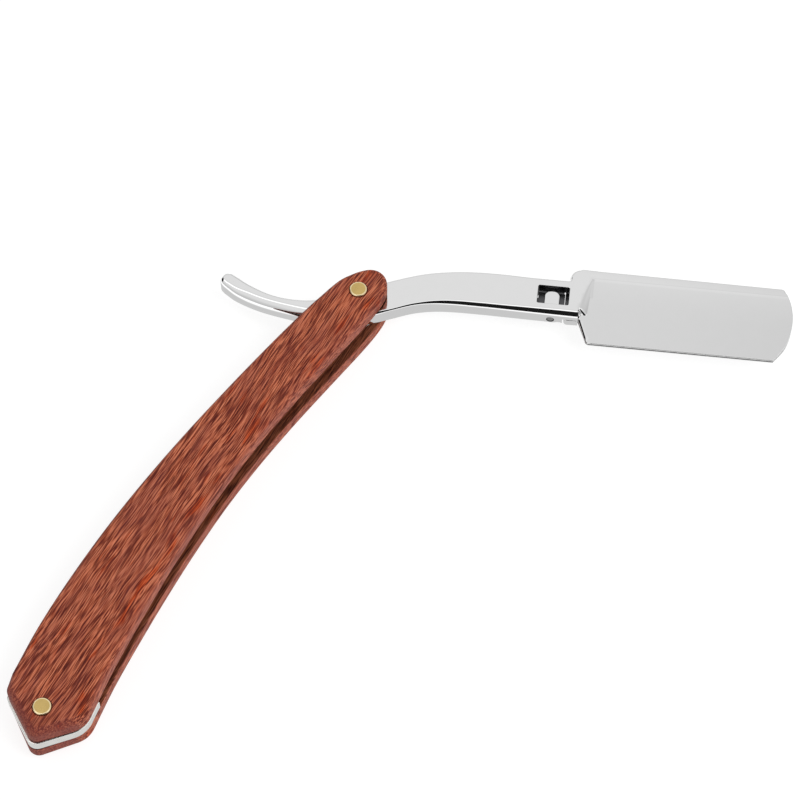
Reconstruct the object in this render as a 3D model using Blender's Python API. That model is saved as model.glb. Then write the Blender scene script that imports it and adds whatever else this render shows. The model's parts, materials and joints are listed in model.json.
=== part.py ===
"""Straight razor with wooden scales and a clamp-type blade holder.

World frame: +Z up through the thickness of the razor, +X roughly along the opened arm.
Two local frames share the pivot as their origin:
  handle frame  x runs from the pivot to the tail rivet, y towards the inner (concave) edge
  arm frame     x runs along the blade holder, y towards its spine
All sizes below are in millimetres; mm turns them into metres.
"""
from math import acos, asin, atan2, cos, pi, radians, sin, tan

import bmesh
import bpy
from mathutils import Matrix, Vector

mm = 0.001

# ---- driving dimensions -------------------------------------------------
HANDLE_TURN = -122.0        # degrees, direction of the handle in the world
ARM_TURN = -6.5             # degrees, direction of the arm in the world
PIVOT_TO_TAIL = 134.1       # between the two rivets
CLEARANCE = 0.1             # running gap between neighbouring pieces

SCALE_THICK = 4.6
SCALE_EDGE_ROUND = 1.3      # outer edge
SCALE_INNER_ROUND = 0.4     # edge towards the slot
PIVOT_HALF_GAP = 2.9        # middle plane to a scale's inner face at the pivot
TAIL_HALF_GAP = 1.5         # the same at the spacer
BOW_LENGTH = 125.0          # from the pivot to the start of the spacer
BOW_POWER = 1.8

RIVET_HEAD_R = 2.2
RIVET_HEAD_PROUD = 0.45
RIVET_HEAD_SUNK = 0.6
RIVET_TUBE_R = 1.25
RIVET_CORE_R = 0.7
WASHER_R = 4.6
WASHER_THICK = 0.35

ARM_HALF = 2.35             # half the thickness of tang and shank
ARM_EDGE_ROUND = 0.75
CLAMP_EDGE_ROUND = 0.4
PLATE_GAP = 0.15            # middle plane to each holder plate
SPINE_Y = 13.45             # foot of the raised spine band
SPINE_TOP = 16.15
EDGE_Y = -4.85              # lower edge of the holder
TOE_X = 108.2
HEEL_X = 57.4
SHOULDER_X = 52.05
ROOT_X = 51.3               # start of the clamp plate's root
ROOT_END_X = 54.9
SEAT_Z = -0.07              # the arm's underside above the clamp plate's root
SHANK_LOW = 2.15
SHANK_HIGH = 12.45
FACE_AT_EDGE = 0.5          # height of the holder's face above the middle plane
FACE_AT_SPINE = 2.32
FACE_HOLLOW = 0.5           # how far the face sags between edge and spine
RAMP_TOP = (54.75, 1.2, 1.75)         # x of the ramp's upper edge, by powers of the share up the ramp
RAMP_FOOT = (57.0, 0.9)
RAMP_LOW = 2.95
CLAMP_PIVOT = (58.6, 10.9)

WINDOW = (44.3, 52.2, 4.75, 10.05)    # x from, x to, y from, y to
PIN_X = 48.0
PIN_Z = -0.6
PIN_R = 0.9
TONGUE_HALF = 1.95          # half the width of the knuckle in the window
TONGUE_TOP = 1.1
TONGUE_BOTTOM = -2.1
FLANGE = (44.5, 51.2, -0.95, -0.25)   # x from, x to, z from, z to
LATCH_Y = (5.05, 9.6)
FLANGE_FAR_Y = 8.65
SPRING = (36.9, 45.7, 6.05, 8.75)
SPRING_POCKET = (36.4, 44.6, 5.55, 9.25)
SCREW = (38.4, 7.4)
VALLEY = (50.1, -2.9, 1.45)            # x, z and radius of the groove behind the root
PEG_X = (66.0, 81.5, 97.0)
PEG_Y = 3.7
PEG_R = 0.8

ROUND_STEPS = 4             # rings in a rounded edge
CIRCLE_STEPS = 40

# ---- outlines -----------------------------------------------------------
SCALE_BELLY_EDGE = [(128.0, 9.3), (117.0, 7.2), (104.0, 5.45), (90.0, 3.9), (76.0, 2.75), (62.0, 2.15),
                    (48.0, 2.35), (34.0, 3.2), (20.0, 4.5), (9.0, 5.6), (2.5, 6.05)]
SCALE_END = [(-2.2, 5.95), (-5.0, 5.3), (-7.0, 3.65), (-7.8, 1.4), (-7.3, -0.75), (-5.8, -2.5), (-3.6, -4.1)]
SCALE_BACK_EDGE = [(0.0, -5.9), (6.0, -7.2), (13.0, -8.45), (25.0, -10.1), (40.0, -11.8), (56.0, -13.3),
                   (72.0, -14.3), (88.0, -14.65), (104.0, -14.15), (118.0, -13.0), (130.5, -11.05)]
SCALE_TAIL_CORNERS = [(134.7, -9.9, 2.0), (141.5, 1.9, 2.5), (131.7, 10.15, 6.5)]
SPACER_CORNERS = [(135.0, -10.05, 2.0), (142.0, 1.85, 2.5), (131.75, 10.15, 6.5)]

ARM_LOW_EDGE = [(-34.3, 1.25), (-30.7, -1.05), (-24.7, -3.25), (-18.0, -4.65), (-11.0, -5.55), (-4.0, -5.45),
                (2.5, -4.05), (8.0, -1.85), (13.5, 0.45), (18.5, 1.65), (24.0, 2.1), (32.0, SHANK_LOW)]
ARM_TOP_EDGE = [(42.0, SHANK_HIGH), (34.5, 12.65), (27.4, 12.45), (21.4, 11.75), (15.5, 10.45), (9.7, 8.35),
                (4.0, 5.85), (-3.0, 2.55), (-8.5, 0.35), (-13.6, -0.6), (-18.4, -0.55), (-22.9, 0.35),
                (-27.5, 2.25), (-31.0, 4.25), (-32.8, 5.25)]
TAIL_TIP = [(-32.8, 5.25), (-34.4, 5.05), (-35.3, 3.55), (-35.2, 2.25), (-34.3, 1.25)]
TOE_EDGE = [(103.9, EDGE_Y), (106.5, -0.85), (107.8, 3.25), (TOE_X, 7.25), (107.6, 11.25), (106.1, 14.9)]


def through(points, steps):
    """A smooth curve through the points, steps pieces to a span."""
    ends = [2 * Vector(points[0]) - Vector(points[1])]
    ends += [Vector(p) for p in points]
    ends += [2 * Vector(points[-1]) - Vector(points[-2])]
    curve = []
    for i in range(1, len(ends) - 2):
        a, b, c, d = ends[i - 1:i + 3]
        for s in range(steps):
            t = s / steps
            p = 2 * b + (c - a) * t
            p += (2 * a - 5 * b + 4 * c - d) * t ** 2
            p += (3 * b - a - 3 * c + d) * t ** 3
            curve.append((p.x / 2, p.y / 2))
    curve.append(tuple(points[-1]))
    return curve


def rounded(corner, before, after, steps=6):
    """An arc of the corner's own radius in place of the corner."""
    at = Vector(corner[:2])
    back = (Vector(before[:2]) - at).normalized()
    ahead = (Vector(after[:2]) - at).normalized()
    half = acos(max(-1.0, min(1.0, back.dot(ahead)))) / 2
    middle = at + (back + ahead).normalized() * corner[2] / sin(half)
    start = at + back * corner[2] / tan(half) - middle
    end = at + ahead * corner[2] / tan(half) - middle
    a0 = atan2(start.y, start.x)
    turn = (atan2(end.y, end.x) - a0 + pi) % (2 * pi) - pi
    arc = []
    for i in range(steps + 1):
        a = a0 + turn * i / steps
        arc.append((middle.x + corner[2] * cos(a), middle.y + corner[2] * sin(a)))
    return arc


def outline(points):
    """Closed outline; a point with a third number is a corner with that radius."""
    shape = []
    for i, p in enumerate(points):
        if len(p) == 3 and p[2] > 0:
            shape += rounded(p, points[i - 1], points[(i + 1) % len(points)])
        else:
            shape.append((p[0], p[1]))
    return shape


def circle(x, y, radius, steps=CIRCLE_STEPS):
    turns = [2 * pi * i / steps for i in range(steps)]
    return [(x + radius * cos(a), y + radius * sin(a)) for a in turns]


def rectangle(x0, x1, y0, y1, radius=0.0):
    return outline([(x0, y0, radius), (x1, y0, radius), (x1, y1, radius), (x0, y1, radius)])


def inset(shape, distance):
    """The counter-clockwise outline moved inwards."""
    moved = []
    count = len(shape)
    for i in range(count):
        here = Vector(shape[i])
        into = (here - Vector(shape[i - 1])).normalized()
        out = (Vector(shape[(i + 1) % count]) - here).normalized()
        n0 = Vector((-into.y, into.x))
        n1 = Vector((-out.y, out.x))
        mitre = (n0 + n1).normalized()
        moved.append(here + mitre * distance / max(0.4, mitre.dot(n0)))
    return [(p.x, p.y) for p in moved]


# ---- meshes and objects -------------------------------------------------
def material(name, colour, roughness, metallic):
    made = bpy.data.materials.new(name)
    made.use_nodes = True
    shader = made.node_tree.nodes["Principled BSDF"]
    shader.inputs["Base Color"].default_value = (*colour, 1.0)
    shader.inputs["Roughness"].default_value = roughness
    shader.inputs["Metallic"].default_value = metallic
    made.diffuse_color = (*colour, 1.0)
    return made


def new_object(name, mesh_builder, finish, parent):
    mesh = bpy.data.meshes.new(name)
    mesh_builder.to_mesh(mesh)
    mesh_builder.free()
    mesh.transform(Matrix.Scale(mm, 4))
    mesh.shade_smooth()
    mesh.set_sharp_from_angle(angle=radians(35))
    made = bpy.data.objects.new(name, mesh)
    bpy.context.scene.collection.objects.link(made)
    if finish:
        mesh.materials.append(finish)
    made.parent = parent
    return made


def stack(rings):
    """Closed mesh through rings of equal length, each a list of 3-D points, lowest first."""
    bm = bmesh.new()
    layers = [[bm.verts.new(p) for p in ring] for ring in rings]
    count = len(layers[0])
    for low, high in zip(layers, layers[1:]):
        for i in range(count):
            j = (i + 1) % count
            bm.faces.new((low[i], low[j], high[j], high[i]))
    bm.faces.new(list(reversed(layers[0])))
    bm.faces.new(layers[-1])
    return bm


def slab(shape, z_low, z_high, round_low=0.0, round_high=0.0):
    """A plate of the outline with rounded lower and upper edges."""
    def edge(radius, z_face, way):
        ring_list = []
        steps = ROUND_STEPS if radius else 0
        for i in range(steps + 1):
            a = pi / 2 * i / steps if steps else 0.0
            moved = inset(shape, radius * (1 - sin(a))) if steps else shape
            z = z_face + way * radius * (1 - cos(a))
            ring_list.append([(x, y, z) for x, y in moved])
        return ring_list
    return stack(edge(round_low, z_low, 1) + list(reversed(edge(round_high, z_high, -1))))


def turned(profile, x=0.0, y=0.0):
    """A round piece from (radius, z) points, lowest first, on a vertical axis."""
    return stack([[(px, py, z) for px, py in circle(x, y, radius)] for radius, z in profile])


def cut(target, bm, name, parent, operation='DIFFERENCE'):
    """Takes the mesh away from the target, or adds it, with an exact Boolean."""
    cutter = new_object(name, bm, None, parent)
    cutter.hide_render = True
    cutter.display_type = 'WIRE'
    boolean = target.modifiers.new(name, 'BOOLEAN')
    boolean.operation = operation
    boolean.object = cutter
    return cutter


def lying_rod(x, z, radius, y_low, y_high):
    """A rod whose axis runs along y."""
    rings = []
    for y in (y_low, y_high):
        rings.append([(x + dz, y, z + dx) for dx, dz in circle(0.0, 0.0, radius, 24)])
    return stack(rings)


# ---- handle -------------------------------------------------------------
def half_gap(u):
    """Middle plane to the inner face of a scale, which bows from the spacer to the pivot."""
    along = min(1.0, max(0.0, u / BOW_LENGTH))
    return TAIL_HALF_GAP + (PIVOT_HALF_GAP - TAIL_HALF_GAP) * (1 - along ** BOW_POWER)


def scale_outline(corners):
    return outline(through(SCALE_BELLY_EDGE + SCALE_END + SCALE_BACK_EDGE, 3) + corners)


def scale(name, side, wood, handle):
    """side is 1 for the front scale and -1 for the back scale."""
    low, high = sorted((0.0, side * SCALE_THICK))
    rounds = (SCALE_INNER_ROUND, SCALE_EDGE_ROUND) if side > 0 else (SCALE_EDGE_ROUND, SCALE_INNER_ROUND)
    bm = slab(scale_outline(SCALE_TAIL_CORNERS), low, high, *rounds)
    for u in range(6, 126, 6):
        everything = bm.verts[:] + bm.edges[:] + bm.faces[:]
        bmesh.ops.bisect_plane(bm, geom=everything, plane_co=(u, 0, 0), plane_no=(1, 0, 0), dist=1e-4)
    for v in bm.verts:
        v.co.z += side * half_gap(v.co.x)
    made = new_object(name, bm, wood, handle)
    for end_name, u in (("pivot", 0.0), ("tail", PIVOT_TO_TAIL)):
        face = half_gap(u) + SCALE_THICK
        hole = RIVET_TUBE_R + CLEARANCE
        seat = RIVET_HEAD_R + 0.15
        floor = face - RIVET_HEAD_SUNK - CLEARANCE
        profile = [(hole, 0.0), (hole, side * floor), (seat, side * floor), (seat, side * (face + 2.0))]
        if side < 0:
            profile.reverse()
        cut(made, turned(profile, u), f"{name}_{end_name}_hole", handle)
    return made


def spacer(steel, handle):
    shape = scale_outline(SPACER_CORNERS)
    bm = slab(shape, -TAIL_HALF_GAP + CLEARANCE, TAIL_HALF_GAP - CLEARANCE, 0.2, 0.2)
    made = new_object("tail_spacer", bm, steel, handle)
    cut(made, slab(rectangle(-30.0, 124.6, -30.0, 30.0), -5.0, 5.0), "spacer_end", handle)
    cut(made, slab(circle(PIVOT_TO_TAIL, 0.0, RIVET_TUBE_R + CLEARANCE), -6.0, 6.0), "spacer_hole", handle)
    return made


def rivet(place, u, brass, handle):
    """Two-piece rivet: a head with a tube at the front, a head with a core at the back."""
    face = half_gap(u) + SCALE_THICK
    top = face + RIVET_HEAD_PROUD
    under = face - RIVET_HEAD_SUNK
    rim = 0.25
    tube_end = -under + 0.4
    head = [(RIVET_HEAD_R, under), (RIVET_HEAD_R, top - rim), (RIVET_HEAD_R - rim * 0.3, top - rim * 0.3),
            (RIVET_HEAD_R - rim, top)]
    front = [(RIVET_TUBE_R, tube_end), (RIVET_TUBE_R, under)] + head
    made = new_object(f"{place}_rivet_front", turned(front, u), brass, handle)
    bore = turned([(RIVET_CORE_R + CLEARANCE, tube_end - 2.0), (RIVET_CORE_R + CLEARANCE, under)], u)
    cut(made, bore, f"{place}_rivet_bore", handle)
    back = [(r, -z) for r, z in reversed(head)] + [(RIVET_CORE_R, -under), (RIVET_CORE_R, under - 0.3)]
    new_object(f"{place}_rivet_back", turned(back, u), brass, handle)


def washer(name, side, steel, handle):
    near = ARM_HALF + CLEARANCE
    low, high = sorted((side * near, side * (near + WASHER_THICK)))
    made = new_object(name, slab(circle(0, 0, WASHER_R), low, high), steel, handle)
    cut(made, slab(circle(0, 0, RIVET_TUBE_R + CLEARANCE), -6.0, 6.0), f"{name}_hole", handle)


# ---- arm ----------------------------------------------------------------
def face_height(y):
    """Height of the holder's slightly hollow face above the middle plane."""
    along = (y - EDGE_Y) / (SPINE_Y - EDGE_Y)
    straight = FACE_AT_EDGE + (FACE_AT_SPINE - FACE_AT_EDGE) * along
    return straight - FACE_HOLLOW * along * (1 - along)


def head_corners(left):
    """The holder's outline after its left side, counter-clockwise from the heel."""
    toe = through(TOE_EDGE, 4)
    lower = [(ROOT_END_X, 1.85, 0.4), (HEEL_X, EDGE_Y, 0.9)]
    upper = [(105.6, SPINE_TOP - 0.35, 0.9), (SHOULDER_X, SPINE_TOP, 2.9)]
    return lower + toe + upper + left


def arm_outline():
    low = through(ARM_LOW_EDGE, 4)
    top = through(ARM_TOP_EDGE, 4)
    tip = through(TAIL_TIP, 4)
    return outline(low + head_corners([(SHOULDER_X, SHANK_HIGH, 0.4)]) + top + tip[1:-1])


def face_cutters(side):
    """What is ground away above the holder's face: the hollow with its slanting ramp, and the heel."""
    far = TOE_X + 4.0
    over = 5.0
    rows = []
    for i in range(9):
        y = SHANK_LOW + (SPINE_Y - SHANK_LOW) * i / 8
        t = max(0.0, (y - RAMP_LOW) / (SPINE_Y - RAMP_LOW))
        ramp_top = RAMP_TOP[0] + RAMP_TOP[1] * t + RAMP_TOP[2] * t * t
        ramp_foot = RAMP_FOOT[0] + RAMP_FOOT[1] * t
        z = face_height(y)
        rise = (over - ARM_HALF) * (ramp_foot - ramp_top) / (ARM_HALF - z)
        rows.append([(ramp_top - rise, y, over), (ramp_foot, y, z), (far, y, z), (far, y, over)])
    hollow = stack(rows)
    rows = []
    for i in range(8):
        y = EDGE_Y + (SHANK_LOW + 0.05 - EDGE_Y) * max(0, i - 1) / 6
        z = face_height(y)
        y -= 4.0 if i == 0 else 0.0
        rows.append([(50.0, y, over), (50.0, y, z), (far, y, z), (far, y, over)])
    heel = stack(rows)
    for bm in (hollow, heel):
        if side < 0:
            bmesh.ops.scale(bm, vec=(1, 1, -1), verts=bm.verts[:])
            bmesh.ops.reverse_faces(bm, faces=bm.faces[:])
        bmesh.ops.recalc_face_normals(bm, faces=bm.faces[:])
    return hollow, heel


def blade_arm(chrome, arm):
    """Tail, tang, shank and the fixed front plate of the holder in one piece."""
    bm = slab(arm_outline(), -ARM_HALF, ARM_HALF, ARM_EDGE_ROUND, ARM_EDGE_ROUND)
    made = new_object("blade_arm", bm, chrome, arm)
    hollow, heel = face_cutters(1)
    cut(made, hollow, "face_hollow", arm)
    cut(made, heel, "face_heel", arm)
    behind = rectangle(ROOT_X - 0.3, TOE_X + 4.0, -9.0, 19.0)
    cut(made, slab(behind, -6.0, SEAT_Z), "clamp_side", arm)
    blade_room = rectangle(ROOT_END_X, TOE_X + 4.0, -9.0, 19.0)
    cut(made, slab(blade_room, -6.0, PLATE_GAP), "blade_room", arm)
    cut(made, lying_rod(*VALLEY, -3.0, 16.0), "back_valley", arm)
    cut(made, slab(rectangle(*WINDOW, 0.35), -6.0, 6.0), "window", arm)
    cut(made, slab(rectangle(*SPRING_POCKET, 0.8), -6.0, -1.35), "spring_pocket", arm)
    cut(made, slab(circle(*SCREW, 0.7), -1.6, 0.6), "screw_hole", arm)
    cut(made, lying_rod(PIN_X, PIN_Z, PIN_R + CLEARANCE, -3.0, 16.0), "pin_hole", arm)
    cut(made, slab(circle(0, 0, RIVET_TUBE_R + CLEARANCE), -6.0, 6.0), "pivot_hole", arm)
    cut(made, slab(circle(*CLAMP_PIVOT, 1.0 + CLEARANCE), -1.0, 1.15), "clamp_rivet_hole", arm)
    for i, x in enumerate(PEG_X):
        cut(made, slab(circle(x, PEG_Y, PEG_R + CLEARANCE, 20), -1.0, 0.55), f"peg_hole_{i + 1}", arm)


def blade_pegs(chrome, arm):
    for i, x in enumerate(PEG_X):
        bm = slab(circle(x, PEG_Y, PEG_R, 20), -0.05, 0.45)
        new_object(f"blade_peg_{i + 1}", bm, chrome, arm)


def clamp_plate(chrome, clamp):
    """The back plate of the holder; it swings on the clamp rivet in its own plane."""
    left = [(SHOULDER_X, 12.3, 0.3), (ROOT_X, 11.4, 0.9), (ROOT_X, 1.75, 0.9)]
    bm = slab(outline(head_corners(left)), -ARM_HALF, -PLATE_GAP, CLAMP_EDGE_ROUND, 0.0)
    hollow, heel = face_cutters(-1)
    bore = 1.0 + CLEARANCE
    seat = turned([(2.0, -4.0), (2.0, -1.45), (bore, -1.45), (bore, 1.0)], *CLAMP_PIVOT)
    for shape in (bm, hollow, heel, seat):
        bmesh.ops.translate(shape, vec=(-CLAMP_PIVOT[0], -CLAMP_PIVOT[1], 0), verts=shape.verts[:])
    made = new_object("clamp_plate", bm, chrome, clamp)
    cut(made, hollow, "clamp_hollow", clamp)
    cut(made, heel, "clamp_heel", clamp)
    cut(made, seat, "clamp_hole", clamp)


def clamp_rivet(steel, arm):
    profile = [(1.55, -2.3), (1.85, -2.0), (1.85, -1.55), (1.0, -1.55), (1.0, 1.0)]
    new_object("clamp_rivet", turned(profile, *CLAMP_PIVOT), steel, arm)


def latch(chrome, steel, arm, latch_axis):
    """Sprung tongue in the window, on a cross pin, whose flange bears on the clamp plate's root."""
    near, far = LATCH_Y
    shape = outline([(-TONGUE_HALF, near, 0.2), (TONGUE_HALF, near, 0.2), (TONGUE_HALF, far, 1.75),
                     (-TONGUE_HALF, far, 1.75)])
    tongue = slab(shape, TONGUE_BOTTOM - PIN_Z, TONGUE_TOP - PIN_Z, 0.3, 0.3)
    made = new_object("latch_knuckle", tongue, chrome, latch_axis)
    x0, x1, z0, z1 = FLANGE
    flange = slab(rectangle(x0 - PIN_X, x1 - PIN_X, near, FLANGE_FAR_Y), z0 - PIN_Z, z1 - PIN_Z)
    cut(made, flange, "knuckle_flange", latch_axis, 'UNION')
    cut(made, lying_rod(0.0, 0.0, PIN_R + CLEARANCE, -3.0, 16.0), "knuckle_bore", latch_axis)
    new_object("latch_pin", lying_rod(PIN_X, PIN_Z, PIN_R, SHANK_LOW - 0.13, SHANK_HIGH - 0.1), steel, arm)
    spring = new_object("latch_spring", slab(rectangle(*SPRING, 0.5), -1.85, -1.5), steel, arm)
    cut(spring, slab(circle(*SCREW, 0.7, 24), -4.0, 0.0), "leaf_hole", arm)
    screw = [(1.1, -2.25), (1.1, -1.95), (0.55, -1.95), (0.55, 0.5)]
    head = new_object("spring_screw", turned(screw, *SCREW), steel, arm)
    slot = rectangle(SCREW[0] - 1.4, SCREW[0] + 1.4, SCREW[1] - 0.15, SCREW[1] + 0.15)
    cut(head, slab(slot, -4.0, -2.1), "screw_slot", arm)


# ---- assembly -----------------------------------------------------------
def empty(name, parent, place=(0, 0, 0), turn=0.0):
    made = bpy.data.objects.new(name, None)
    bpy.context.scene.collection.objects.link(made)
    made.parent = parent
    made.location = Vector(place) * mm
    made.rotation_euler.z = radians(turn)
    return made


def stand_on_origin(root):
    """Moves the razor so that its box's bottom centre is the origin."""
    bpy.context.view_layer.update()
    graph = bpy.context.evaluated_depsgraph_get()
    corners = []
    for piece in bpy.data.objects:
        if piece.type == 'MESH' and not piece.hide_render:
            ready = piece.evaluated_get(graph)
            corners += [ready.matrix_world @ v.co for v in ready.data.vertices]
    low = [min(c[i] for c in corners) for i in range(3)]
    high = [max(c[i] for c in corners) for i in range(3)]
    root.location = (-(low[0] + high[0]) / 2, -(low[1] + high[1]) / 2, -low[2])
    bpy.context.view_layer.update()
    print("pivot", [round(c, 7) for c in root.matrix_world.translation])
    print("size", [round(high[i] - low[i], 5) for i in range(3)])


def main():
    for old in list(bpy.data.objects):
        bpy.data.objects.remove(old)
    wood = material("wood", (0.35, 0.07, 0.04), 0.45, 0.0)
    brass = material("brass", (0.60, 0.43, 0.20), 0.25, 1.0)
    chrome = material("chrome", (0.75, 0.76, 0.77), 0.06, 1.0)
    steel = material("brushed_steel", (0.62, 0.62, 0.62), 0.3, 1.0)

    root = empty("pivot_point", None)
    handle = empty("handle_frame", root, turn=HANDLE_TURN)
    arm = empty("arm_frame", root, turn=ARM_TURN)
    latch_axis = empty("latch_axis", arm, (PIN_X, 0.0, PIN_Z))
    clamp_axis = empty("clamp_axis", arm, (*CLAMP_PIVOT, 0.0))

    scale("front_scale", 1, wood, handle)
    scale("back_scale", -1, wood, handle)
    spacer(steel, handle)
    rivet("pivot", 0.0, brass, handle)
    rivet("tail", PIVOT_TO_TAIL, brass, handle)
    washer("front_washer", 1, steel, handle)
    washer("back_washer", -1, steel, handle)

    blade_arm(chrome, arm)
    blade_pegs(chrome, arm)
    clamp_rivet(steel, arm)
    clamp_plate(chrome, clamp_axis)
    latch(chrome, steel, arm, latch_axis)
    stand_on_origin(root)


main()
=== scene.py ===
import json
from math import acos, atan2, cos, pi, radians, sin, tan

import bmesh
import bpy
import numpy as np
from mathutils import Matrix, Vector
from mathutils.geometry import delaunay_2d_cdt


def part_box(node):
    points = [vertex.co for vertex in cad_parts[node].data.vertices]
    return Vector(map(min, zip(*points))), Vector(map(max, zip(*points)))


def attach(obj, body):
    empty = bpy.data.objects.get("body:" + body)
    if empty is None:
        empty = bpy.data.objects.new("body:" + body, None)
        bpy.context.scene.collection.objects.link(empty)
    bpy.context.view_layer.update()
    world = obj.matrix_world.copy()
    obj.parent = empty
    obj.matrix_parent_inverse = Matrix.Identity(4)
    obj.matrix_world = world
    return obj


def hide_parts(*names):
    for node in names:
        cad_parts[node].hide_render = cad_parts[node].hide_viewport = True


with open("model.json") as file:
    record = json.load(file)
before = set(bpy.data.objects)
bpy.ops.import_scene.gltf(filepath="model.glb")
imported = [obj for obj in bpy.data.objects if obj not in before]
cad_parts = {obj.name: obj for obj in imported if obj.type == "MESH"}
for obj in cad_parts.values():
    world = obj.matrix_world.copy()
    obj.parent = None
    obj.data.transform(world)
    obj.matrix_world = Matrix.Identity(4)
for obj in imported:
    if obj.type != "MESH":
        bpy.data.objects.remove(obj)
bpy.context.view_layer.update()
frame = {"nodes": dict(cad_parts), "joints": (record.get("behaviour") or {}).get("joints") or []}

print("frame loaded,", len(frame["nodes"]), "nodes")

# Local frames in millimetres, both at the pivot: the handle's x runs to the tail rivet,
# the arm's x runs along the blade holder.
joints = {joint["name"]: joint for joint in frame["joints"]}
pivot = Vector(joints["arm_pivot"]["pos_m"])


def middle(node):
    low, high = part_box(node)
    return (low + high) / 2


def frameAlong(start, end):
    turn = atan2(end.y - start.y, end.x - start.x)
    return Matrix.Translation(pivot) @ Matrix.Rotation(turn, 4, "Z") @ Matrix.Scale(0.001, 4)


handleFrame = frameAlong(pivot, middle("tail_rivet_front"))
armFrame = frameAlong(middle("blade_peg_1"), middle("blade_peg_3"))


# Outlines
def smoothThrough(points, steps):
    ends = [2 * Vector(points[0]) - Vector(points[1])]
    ends += [Vector(p) for p in points]
    ends += [2 * Vector(points[-1]) - Vector(points[-2])]
    curve = []
    for i in range(1, len(ends) - 2):
        a, b, c, d = ends[i - 1:i + 3]
        for s in range(steps):
            t = s / steps
            p = 2 * b + (c - a) * t
            p += (2 * a - 5 * b + 4 * c - d) * t ** 2
            p += (3 * b - a - 3 * c + d) * t ** 3
            curve.append((p.x / 2, p.y / 2))
    curve.append(tuple(points[-1]))
    return curve


def roundCorner(corner, before, after, steps=9):
    at = Vector(corner[:2])
    back = (Vector(before[:2]) - at).normalized()
    ahead = (Vector(after[:2]) - at).normalized()
    half = acos(max(-1.0, min(1.0, back.dot(ahead)))) / 2
    centre = at + (back + ahead).normalized() * corner[2] / sin(half)
    start = at + back * corner[2] / tan(half) - centre
    end = at + ahead * corner[2] / tan(half) - centre
    first = atan2(start.y, start.x)
    turn = (atan2(end.y, end.x) - first + pi) % (2 * pi) - pi
    angles = [first + turn * i / steps for i in range(steps + 1)]
    return [(centre.x + corner[2] * cos(a), centre.y + corner[2] * sin(a)) for a in angles]


def closedLoop(points):
    # a point with a third number is a corner with that radius
    loop = []
    for i, p in enumerate(points):
        if len(p) == 3:
            loop += roundCorner(p, points[i - 1], points[(i + 1) % len(points)])
        else:
            loop.append((p[0], p[1]))
    return np.array(loop)


def roundedBox(x0, x1, y0, y1, radius):
    return closedLoop([(x0, y0, radius), (x1, y0, radius), (x1, y1, radius), (x0, y1, radius)])


def circleLoop(x, y, radius, steps=64):
    angles = np.linspace(0, 2 * pi, steps, endpoint=False)
    return np.stack([x + radius * np.cos(angles), y + radius * np.sin(angles)], 1)


def splitLong(loop, longest):
    out = []
    for a, b in zip(loop, np.roll(loop, -1, 0)):
        pieces = max(1, int(np.ceil(np.linalg.norm(b - a) / longest)))
        out += [a + (b - a) * i / pieces for i in range(pieces)]
    return np.array(out)


def unit(vectors):
    return vectors / np.maximum(1e-9, np.linalg.norm(vectors, axis=1))[:, None]


def insetLoop(loop, distance):
    into = unit(loop - np.roll(loop, 1, 0))
    out = unit(np.roll(loop, -1, 0) - loop)
    sideIn = np.stack([-into[:, 1], into[:, 0]], 1)
    sideOut = np.stack([-out[:, 1], out[:, 0]], 1)
    mitre = unit(sideIn + sideOut)
    reach = np.broadcast_to(distance, len(loop)) / np.maximum(0.4, (mitre * sideIn).sum(1))
    return loop + mitre * reach[:, None]


def insideLoop(points, loop):
    x, y = points[:, :1], points[:, 1:]
    x0, y0 = loop.T
    x1, y1 = np.roll(loop, -1, 0).T
    rise = np.where(abs(y1 - y0) < 1e-12, 1e-12, y1 - y0)
    crossed = ((y0 > y) != (y1 > y)) & (x < (x1 - x0) * (y - y0) / rise + x0)
    return crossed.sum(1) % 2 == 1


def distanceTo(points, loop, closed=True):
    a = loop if closed else loop[:-1]
    b = np.roll(loop, -1, 0) if closed else loop[1:]
    along = b - a
    t = ((points[:, None] - a) * along).sum(2) / np.maximum(1e-12, (along ** 2).sum(1))
    near = a + np.clip(t, 0, 1)[:, :, None] * along
    return np.linalg.norm(points[:, None] - near, axis=2).min(1)


# Plate builder: a slab whose two faces are height fields, with rounded edges
def capFaces(bm, rings, height, upwards, step, lines):
    loops = [np.array([v.co.xy for v in ring]) for ring in rings]
    low, high = loops[0].min(0), loops[0].max(0)
    grid = np.array([(x, y) for x in np.arange(low[0] + step / 2, high[0], step)
                     for y in np.arange(low[1] + step / 2, high[1], step)])
    keep = insideLoop(grid, loops[0]) & (distanceTo(grid, loops[0]) > 0.4 * step)
    for hole in loops[1:]:
        keep &= ~insideLoop(grid, hole) & (distanceTo(grid, hole) > 0.4 * step)
    for line in lines:
        keep[keep] = distanceTo(grid[keep], np.array(line), False) > 0.3 * step
    points = [tuple(p) for loop in loops for p in loop]
    edges = []
    start = 0
    for loop in loops:
        count = len(loop)
        edges += [(start + i, start + (i + 1) % count) for i in range(count)]
        start += count
    for line in lines:
        count = len(line)
        edges += [(len(points) + i, len(points) + i + 1) for i in range(count - 1)]
        points += [tuple(p) for p in line]
    points += [tuple(p) for p in grid[keep]]
    made = delaunay_2d_cdt([Vector(p) for p in points], edges, [], 0, 1e-6)
    spots, faces, origins = np.array([tuple(p) for p in made[0]]), made[2], made[3]
    known = [v for ring in rings for v in ring]
    verts = []
    levels = height(spots)
    for i, origin in enumerate(origins):
        ringPoint = [n for n in origin if n < len(known)]
        verts.append(known[ringPoint[0]] if ringPoint else bm.verts.new((*spots[i], levels[i])))
    centres = np.array([spots[list(face)].mean(0) for face in faces])
    keep = insideLoop(centres, loops[0])
    for hole in loops[1:]:
        keep &= ~insideLoop(centres, hole)
    for face, wanted in zip(faces, keep):
        if wanted:
            corners = [verts[i] for i in face]
            bm.faces.new(corners if upwards else corners[::-1])


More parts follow.
